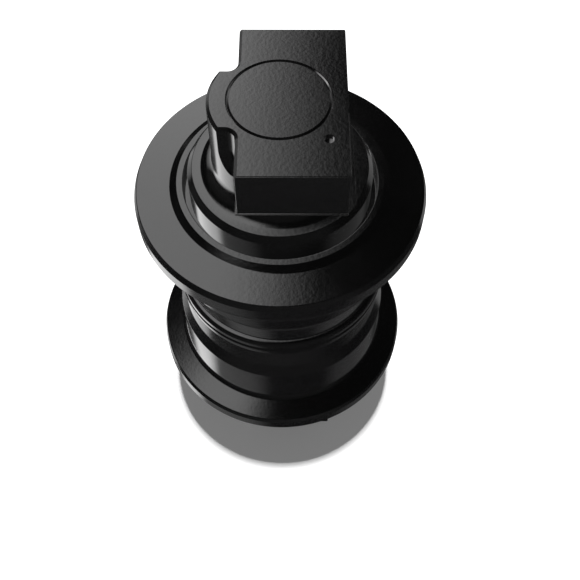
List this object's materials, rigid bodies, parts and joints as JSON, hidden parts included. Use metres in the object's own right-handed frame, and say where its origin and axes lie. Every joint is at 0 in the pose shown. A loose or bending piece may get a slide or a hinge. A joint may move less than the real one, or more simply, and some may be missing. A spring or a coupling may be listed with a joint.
{
  "type": "track roller",
  "caption": "Double-flanged track roller: hollow steel shell that spins on a fixed shaft held by two end collars with flat bolt-on mounting pads.",
  "frame": {"origin": "on the roller axis, at the outer face of the lower collar", "axes": "+Z along the roller axis towards the upper collar, +X out of the collars' mounting pads"},
  "size_m": [0.188, 0.188, 0.338],
  "materials": {
    "shell_paint": "satin black paint over a turned forging",
    "collar_paint": "satin black paint over a forging with fine scale texture",
    "shaft_steel": "ground steel, ends painted satin black with the collars",
    "pin_steel": "ground",
    "plug_steel": "phosphated",
    "washer_copper": "soft copper",
    "bush_bronze": "turned bronze",
    "o_ring_rubber": "matte",
    "seal_iron": "lapped sealing face",
    "toric_rubber": "matte"
  },
  "bodies": {
    "carrier": {"shaft": "shaft_steel", "collar_upper": "collar_paint", "collar_lower": "collar_paint", "lock_pin_upper": "pin_steel", "lock_pin_lower": "pin_steel", "oil_plug": "plug_steel", "oil_plug_washer": "washer_copper", "shaft_o_ring_upper": "o_ring_rubber", "shaft_o_ring_lower": "o_ring_rubber", "seal_ring_fixed_upper": "seal_iron", "seal_ring_fixed_lower": "seal_iron", "seal_toric_fixed_upper": "toric_rubber", "seal_toric_fixed_lower": "toric_rubber"},
    "roller_shell": {"shell_half_upper": "shell_paint", "shell_half_lower": "shell_paint", "bush_upper": "bush_bronze", "bush_lower": "bush_bronze", "seal_ring_turning_upper": "seal_iron", "seal_ring_turning_lower": "seal_iron", "seal_toric_turning_upper": "toric_rubber", "seal_toric_turning_lower": "toric_rubber"}
  },
  "joints": [
    {"name": "roller_spin", "type": "hinge", "parent": "carrier", "child": "roller_shell", "pos_m": [0, 0, 0.169], "axis": [0, 0, 1], "continuous": true}
  ]
}
